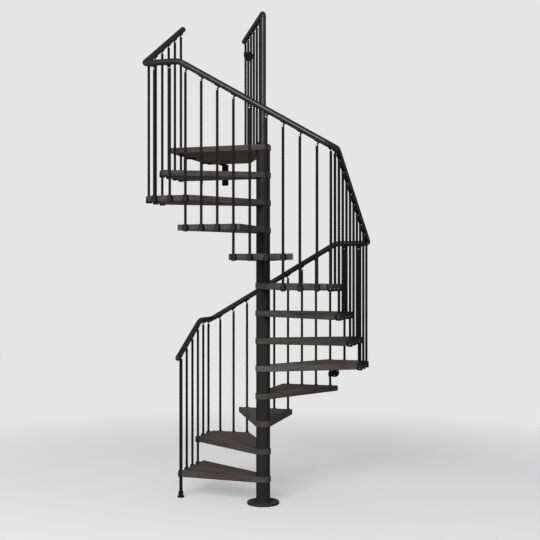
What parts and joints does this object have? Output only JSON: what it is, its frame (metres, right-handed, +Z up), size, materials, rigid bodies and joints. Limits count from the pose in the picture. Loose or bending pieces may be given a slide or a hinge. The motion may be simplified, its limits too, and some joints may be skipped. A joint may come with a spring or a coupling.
{
  "type": "spiral staircase",
  "caption": "Square-plan spiral staircase with dark wooden treads, a dark steel centre pole, black balusters, a climbing handrail and a top landing.",
  "frame": {"origin": "on the floor under the middle of the centre pole, on the underside of the floor flange", "axes": "+Z up along the centre pole, +X to the right along the front of the square plan, +Y to the back; the stair climbs clockwise seen from above, starting at the left"},
  "size_m": [1.5062, 1.5862, 3.8955],
  "materials": {
    "dark_wood": "satin",
    "pole_coating": "satin",
    "flange_coating": "satin",
    "rod_coating": "satin",
    "rail_coating": "satin",
    "joint_rings": "satin",
    "saddle_coating": "satin",
    "clamp_plastic": "matte",
    "fitting_coating": "satin"
  },
  "bodies": {
    "root": {"balusters_back": "rod_coating", "balusters_front": "rod_coating", "balusters_landing": "rod_coating", "balusters_left": "rod_coating", "balusters_right": "rod_coating", "centre_pole": "pole_coating", "floor_flange": "flange_coating", "handrail_back_right": "rail_coating", "handrail_landing": "rail_coating", "handrail_lower": "rail_coating", "handrail_right_front": "rail_coating", "handrail_upper": "rail_coating", "landing": "dark_wood", "landing_angles": "fitting_coating", "landing_newel": "rail_coating", "landing_post_rings": "fitting_coating", "newel_elbow": "rail_coating", "rail_end_caps": "rail_coating", "rail_joint_rings": "joint_rings", "rail_saddles_back": "saddle_coating", "rail_saddles_front": "saddle_coating", "rail_saddles_landing": "saddle_coating", "rail_saddles_left": "saddle_coating", "rail_saddles_right": "saddle_coating", "spacer_tubes": "pole_coating", "start_post": "rod_coating", "start_post_foot": "rod_coating", "tread_01": "dark_wood", "tread_02": "dark_wood", "tread_03": "dark_wood", "tread_04": "dark_wood", "tread_05": "dark_wood", "tread_06": "dark_wood", "tread_07": "dark_wood", "tread_08": "dark_wood", "tread_09": "dark_wood", "tread_10": "dark_wood", "tread_11": "dark_wood", "tread_12": "dark_wood", "tread_clamps_back": "clamp_plastic", "tread_clamps_front": "clamp_plastic", "tread_clamps_left": "clamp_plastic", "tread_clamps_right": "clamp_plastic", "wall_arms": "fitting_coating", "wall_rosettes": "fitting_coating"}
  },
  "joints": []
}
